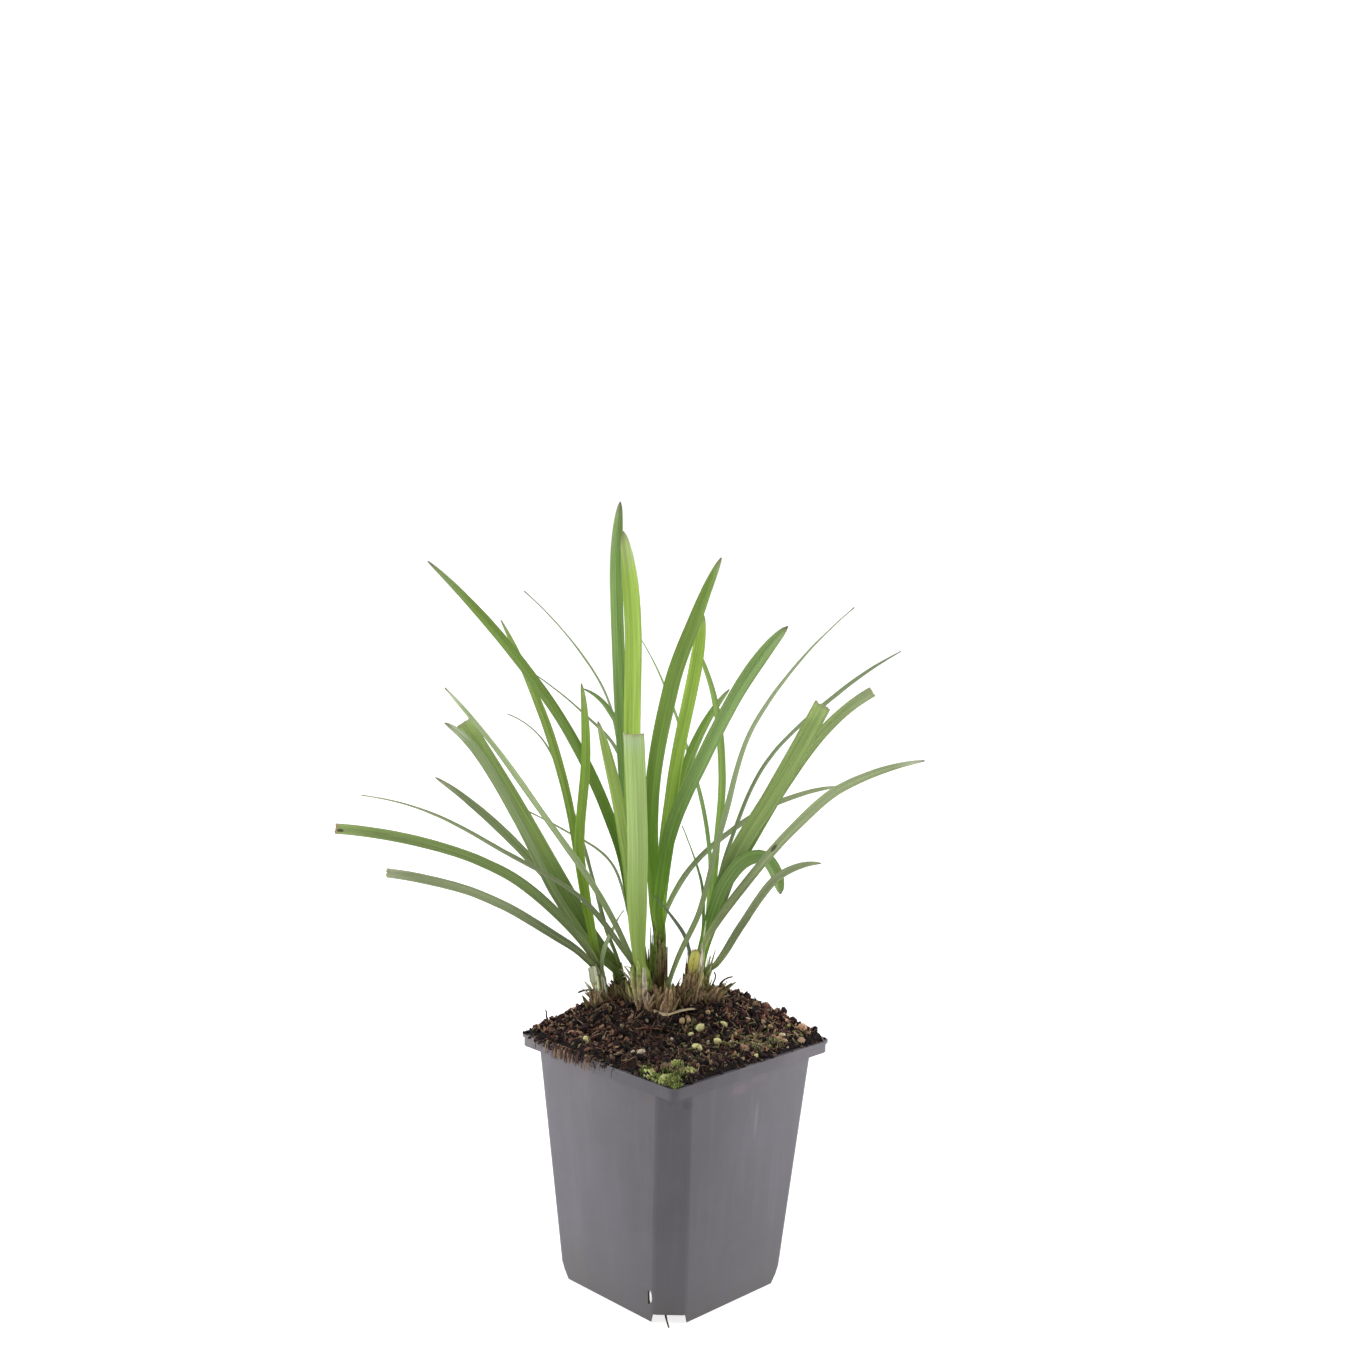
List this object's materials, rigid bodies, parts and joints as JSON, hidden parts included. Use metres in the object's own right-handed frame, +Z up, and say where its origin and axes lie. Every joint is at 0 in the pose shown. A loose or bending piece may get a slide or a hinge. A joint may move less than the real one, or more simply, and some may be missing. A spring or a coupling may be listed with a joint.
{
  "type": "potted liriope",
  "caption": "Clump of arching strap leaves growing from soil in a square tapered nursery pot.",
  "frame": {"origin": "on the ground under the middle of the pot", "axes": "+Z up, X and Y along the pot's flat walls; the picture looks along (-X, +Y)"},
  "size_m": [0.1963, 0.1995, 0.315],
  "materials": {
    "pot": "satin",
    "soil": "matte",
    "leaf": "satin",
    "crown": "matte",
    "sheath": "matte",
    "straw": "matte",
    "root": "matte"
  },
  "bodies": {
    "root": {"pot": "pot", "soil": "soil", "crown_left": "crown", "crown_second": "crown", "crown_centre": "crown", "crown_small": "crown", "crown_middle": "crown", "crown_right": "crown", "leaf_left_1": "leaf", "leaf_left_2": "leaf", "leaf_left_3": "leaf", "leaf_left_4": "leaf", "leaf_left_5": "leaf", "leaf_second_1": "leaf", "leaf_second_2": "leaf", "leaf_second_3": "leaf", "leaf_second_4": "leaf", "leaf_centre_1": "leaf", "leaf_centre_2": "leaf", "leaf_centre_3": "leaf", "leaf_centre_4": "leaf", "leaf_centre_5": "leaf", "leaf_centre_6": "leaf", "leaf_centre_7": "leaf", "leaf_centre_8": "leaf", "leaf_centre_9": "leaf", "leaf_centre_10": "leaf", "leaf_centre_11": "leaf", "leaf_small_1": "leaf", "leaf_middle_1": "leaf", "leaf_middle_2": "leaf", "leaf_middle_3": "leaf", "leaf_middle_4": "leaf", "leaf_middle_5": "leaf", "leaf_right_1": "leaf", "leaf_right_2": "leaf", "leaf_right_3": "leaf", "leaf_right_4": "leaf", "leaf_right_5": "leaf", "leaf_right_6": "leaf", "leaf_right_7": "leaf", "leaf_right_8": "leaf", "leaf_right_9": "leaf", "leaf_right_10": "leaf", "sheath_left": "sheath", "sheath_right": "sheath", "bract_right": "sheath", "straw": "straw", "root_tip": "root"}
  },
  "joints": []
}
